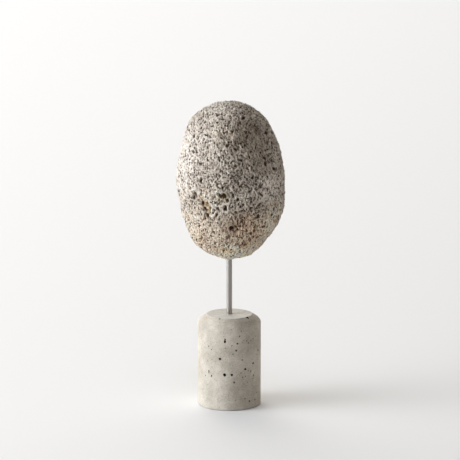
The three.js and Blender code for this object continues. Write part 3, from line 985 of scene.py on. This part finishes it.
porous = Finish(bpy.data.materials.new("porous_rock"))
dirt_and_shade = porous.node("ShaderNodeAttribute", output="Fac", attribute_name="dirt_and_shade")
hollow = porous.node("ShaderNodeAttribute", output="Fac", attribute_name="hollow")
tint = porous.node("ShaderNodeAttribute", output="Color", attribute_name="tint")
upright = porous.node(
    "ShaderNodeMapping", {"Vector": porous.place, "Scale": (1, 1, UPRIGHT_GRAIN)}
)
stray = porous.shade(porous.cloud(1.1, output="Color"), 0.9 * MM)
frayed = porous.node("ShaderNodeVectorMath", {0: upright, 1: stray})
wash = porous.cloud(22, detail=3)
blotches = porous.cloud(5, detail=4, roughness=0.65, place=upright)
crumbs = porous.cloud(1.3, detail=3, roughness=0.7, place=frayed)
crystal = porous.node(
    "ShaderNodeSeparateColor", {0: porous.cells(CRYSTAL_SIZE, output="Color", place=frayed)}
)


def pinholes_of(spacing):
    """Pinholes of all sizes up to the widest: 1 inside, 0 between them."""
    apart = porous.cells(spacing, place=frayed)
    size = porous.node(
        "ShaderNodeSeparateColor", {0: porous.cells(spacing, output="Color", place=frayed)}
    )
    return porous.grade(apart - WIDEST_PINHOLE * size * size, -0.1, 0.02, 1, 0)


pinholes = pinholes_of(PINHOLE_SPACING)
pinpricks = pinholes_of(PINPRICK_SPACING)
tone = porous.blend(porous.grade(wash, 0.38, 0.62), STONE_CREAM, STONE_GREY)
height_up = porous.node("ShaderNodeSeparateXYZ", {0: porous.place}, output=2)
warm = porous.grade(height_up, WARM_UP_TO * MM, WARM_NO_HIGHER * MM, WARMTH, 0)
tone = porous.blend(warm, tone, STONE_WARM)
# The tint lays on the stains and the painted light and shade.
tone = porous.blend(1.0, tone, tint, how="MULTIPLY")
tone = porous.shade(tone, porous.vary(blotches, 0.8, 1.14))
tone = porous.shade(tone, porous.vary(crumbs, 0.8, 1.08))
tone = porous.shade(tone, porous.grade(crystal, 0, 1, 0.8, 1.1))
tone = porous.blend(1.0, tone, STONE_PALEST, how="DARKEN")
shaded = porous.grade(hollow, *SHADED_DEPTHS)
tone = porous.blend(shaded, tone, SHADE_BROWN, how="MULTIPLY")
tone = porous.blend(PINHOLE_STRENGTH * pinholes, tone, PIT_BROWN)
tone = porous.blend(PINPRICK_STRENGTH * pinpricks, tone, PIT_BROWN)
# Dirt and painted shade darken the bottoms of the pits and pores.
tone = porous.blend(DIRT_AND_SHADE_STRENGTH * dirt_and_shade, tone, PIT_BROWN)
# The tint's green tells where light is painted on; there the crumbs' bump is made lower.
lightened = porous.node("ShaderNodeSeparateColor", {0: tint}, output=1)
keeps = porous.grade(lightened, *LIGHTENED_GREENS, 1, RUBBED)
skin_height = keeps * (0.75 * crumbs + 0.12 * crystal) - 0.5 * pinholes - 0.4 * pinpricks
porous_rock = porous.surface(
    {
        "Base Color": tone,
        "Roughness": porous.vary(crumbs, 0.88, 1.0),
        "Specular IOR Level": 0.2,
        "Normal": porous.bump(skin_height, CRUMBLY_BUMP),
    }
)
finish_piece(stone, porous_rock, "stone", crease=180)

# ---- The room: a wide sheet of white paper under the object, in a dark room with one broad, low,
# soft window to the left and a little in front, a skylight, and a bright wall behind. The sheet's
# colour is painted a little brighter to the left and far back: painted light.

PAPER_RADIUS = 9000
PAPER = (0.786, 0.795, 0.812)
PAPER_FAR = 1.103  # how bright the sheet is far back
PAPER_NEAR = 0.296  # how it dims towards the viewer, and to the right
PAPER_RIGHT = 0.655
PAPER_SHADES = (0.6, 1.2)  # the dimmest and the brightest the sheet gets
VIEWER_DISTANCE = 1.964  # in metres, along the floor
NEAREST = -1  # in metres: nearer to the viewer than this the sheet grows no dimmer
# The bright places: brightness, where each is (turn from the front towards +X, rise), narrowness,
# and colour.
DAYLIGHT = (0.99, 1, 1.01)
WALL_LIGHT = (1.05, 1, 0.92)
BRIGHT_PLACES = [
    (16.2, -78, 8, 28, DAYLIGHT),  # the window
    (2.9, -9, 68, 43, DAYLIGHT),  # a skylight over the camera
    (4.8, -164, 25, 21, WALL_LIGHT),  # the wall behind, left and right
    (2.1, 143, 5, 20, WALL_LIGHT),
    (0.75, 72, -5, 8, (1.18, 1, 0.8)),  # the pale floor's warm glow on the right
]
ROOM_SEEN = (0.86, 0.855, 0.845)

paper_shape = bmesh.new()
bmesh.ops.create_circle(paper_shape, cap_ends=True, segments=96, radius=PAPER_RADIUS)
paper = put_in_scene("paper_floor", paper_shape)
paper.data.transform(Matrix.Scale(MM, 4))
white = Finish(bpy.data.materials.new("white_paper"))
across = white.node("ShaderNodeSeparateXYZ", {0: white.place}, output=0)
back = white.node("ShaderNodeSeparateXYZ", {0: white.place}, output=1)
back = white.node("ShaderNodeMath", {0: back, 1: NEAREST}, operation="MAXIMUM")
# Painted light: the sheet's colour is brighter to the left and far back, dimmer towards the viewer
# and to the right.
nearness = (PAPER_NEAR + PAPER_RIGHT * across) / (back + VIEWER_DISTANCE)
dimmest, brightest = PAPER_SHADES
evenness = white.node("ShaderNodeClamp", {0: PAPER_FAR - nearness, 1: dimmest, 2: brightest})
paper.data.materials.append(
    white.surface(
        {
            "Base Color": white.shade(PAPER, evenness),
            "Roughness": 0.9,
            "Specular IOR Level": 0.1,
        }
    )
)
paper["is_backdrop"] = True

world = bpy.data.worlds.new("room")
bpy.context.scene.world = world
room = Finish(world, "Generated")
light = [0.0] * 3
for brightness, turn, rise, narrowness, colour in BRIGHT_PLACES:
    towards = room.node(
        "ShaderNodeVectorMath",
        {0: room.place, 1: facing(turn, rise)},
        output="Value",
        operation="DOT_PRODUCT",
    )
    near = room.node("ShaderNodeMath", {0: 0.5 + 0.5 * towards, 1: narrowness}, operation="POWER")
    light = [so_far + brightness * part * near for so_far, part in zip(light, colour)]
seen = room.node("ShaderNodeLightPath", output="Is Camera Ray")
glow = room.node(
    "ShaderNodeBackground",
    {0: room.blend(seen, room.node("ShaderNodeCombineColor", dict(enumerate(light))), ROOM_SEEN)},
)
room.node("ShaderNodeOutputWorld", {0: glow})

# ---- The camera: two metres off, a little above, with a long lens.

AIM = Vector((0.6, 0, 159.8))
CAMERA_RISE = 10.93
CAMERA_DISTANCE = 2000
LENS = 174.94

lens = bpy.data.cameras.new("camera")
lens.lens = LENS
lens.sensor_width = 36
lens.clip_end = 60
camera = bpy.data.objects.new("camera", lens)
camera.location = (AIM + facing(0, CAMERA_RISE) * CAMERA_DISTANCE) * MM
camera.rotation_euler = (math.radians(90 - CAMERA_RISE), 0, 0)
bpy.context.scene.collection.objects.link(camera)
bpy.context.scene.camera = camera
bpy.context.scene.view_settings.view_transform = "Standard"

size = {"cad": [list(corner) for corner in cad_box], "visual": [list(c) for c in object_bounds()]}
